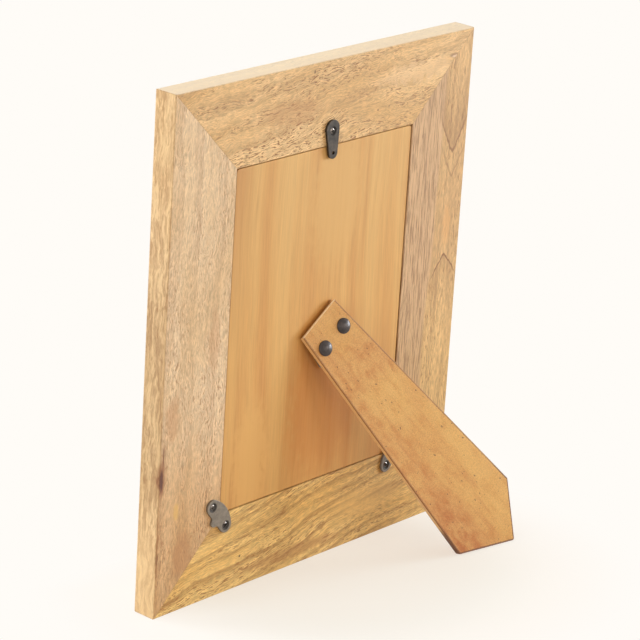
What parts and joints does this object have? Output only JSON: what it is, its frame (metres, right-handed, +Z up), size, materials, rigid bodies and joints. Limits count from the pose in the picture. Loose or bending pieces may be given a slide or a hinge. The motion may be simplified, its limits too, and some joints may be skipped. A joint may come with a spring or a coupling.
{
  "type": "easel back photo frame",
  "caption": "Wide mitred wood photo frame standing on a slanted, hinged easel strut, with glass, backing board, corner plates and a turn button that keeps the board in.",
  "frame": {"origin": "middle of the standing object's box, on the table", "axes": "+Z up, front of the frame faces -Y, the strut stands out behind on +Y, +X to the right seen from the front"},
  "size_m": [0.219, 0.0776, 0.2701],
  "materials": {
    "frame_wood": "oiled, streaked grain",
    "board_wood": "smooth stained board",
    "dark_steel": "gunmetal grey",
    "screw_steel": "darkened steel",
    "black_steel": "satin black",
    "hinge_steel": "plain stamped",
    "clear_glass": "clear, polished",
    "print_paper": "blank matt card"
  },
  "bodies": {
    "frame": {"bottom_rail": "frame_wood", "right_stile": "frame_wood", "top_rail": "frame_wood", "left_stile": "frame_wood", "backing_board": "board_wood", "left_corner_plate": "dark_steel", "right_corner_plate": "dark_steel", "turn_button_screw": "screw_steel", "left_plate_screws": "screw_steel", "right_plate_screws": "screw_steel", "hinge_board_leaf": "hinge_steel", "hinge_pin": "hinge_steel", "board_rivets": "hinge_steel", "corner_brads": "hinge_steel", "glass_pane": "clear_glass", "blank_print": "print_paper"},
    "strut": {"strut": "board_wood", "hinge_strut_leaf": "hinge_steel", "strut_rivets": "black_steel"},
    "button": {"turn_button": "dark_steel"}
  },
  "joints": [
    {"name": "strut_hinge", "type": "hinge", "parent": "frame", "child": "strut", "pos_m": [-0.0044, -0.01383, 0.12669], "axis": [0.8141, -0.0456, -0.5789], "range_deg": [-20.7, 0]},
    {"name": "turn_button", "type": "hinge", "parent": "frame", "child": "button", "pos_m": [-0.002, -0.00655, 0.23244], "axis": [0, 0.9969, -0.0785], "continuous": true}
  ]
}
